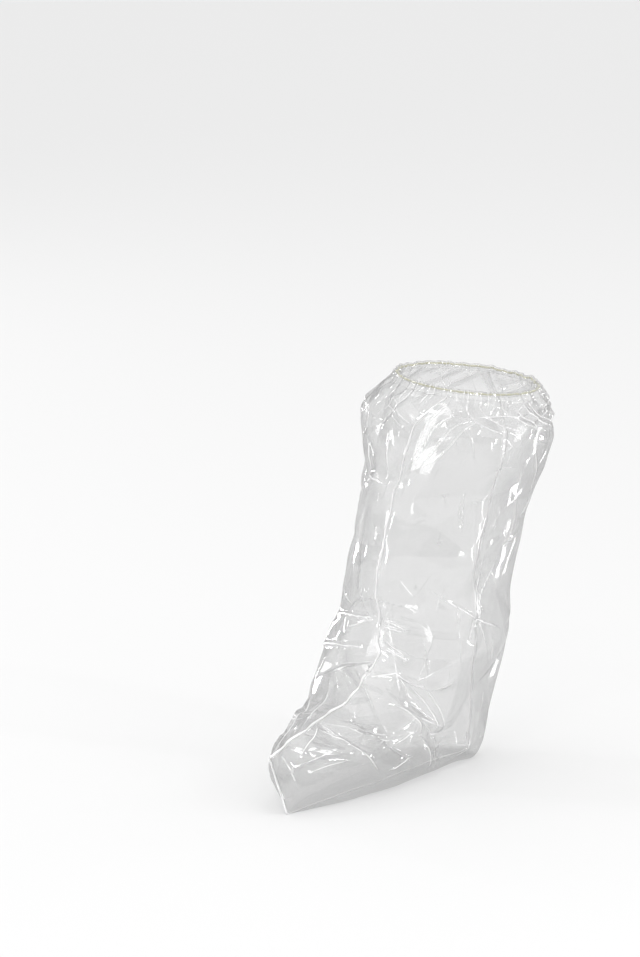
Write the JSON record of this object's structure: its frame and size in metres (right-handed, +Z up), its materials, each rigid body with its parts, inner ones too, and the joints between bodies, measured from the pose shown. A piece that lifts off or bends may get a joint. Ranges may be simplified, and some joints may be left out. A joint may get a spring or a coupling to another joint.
{
  "type": "boot cover",
  "caption": "Clear film boot cover in its worn form: a welded boot-shaped bag, hollow to the toe, with a gathered elastic top that a leg goes through.",
  "frame": {"origin": "the middle of the leg opening, level with the top of the hem", "axes": "+Z up, the toe towards -Y, +X on the outer side of the foot"},
  "size_m": [0.2182, 0.3993, 0.419],
  "materials": {
    "film": "clear, slightly hazy polyethylene film with soft creases",
    "weld": "heat-sealed film edge, whiter than the film",
    "hem_film": "doubled film, gathered along the elastic",
    "elastic": "pale cream covered elastic"
  },
  "bodies": {
    "root": {"left_panel": "film", "right_panel": "film", "front_seam": "weld", "toe_seam": "weld", "sole_seam": "weld", "back_seam": "weld", "hem": "hem_film", "elastic": "elastic"}
  },
  "joints": []
}
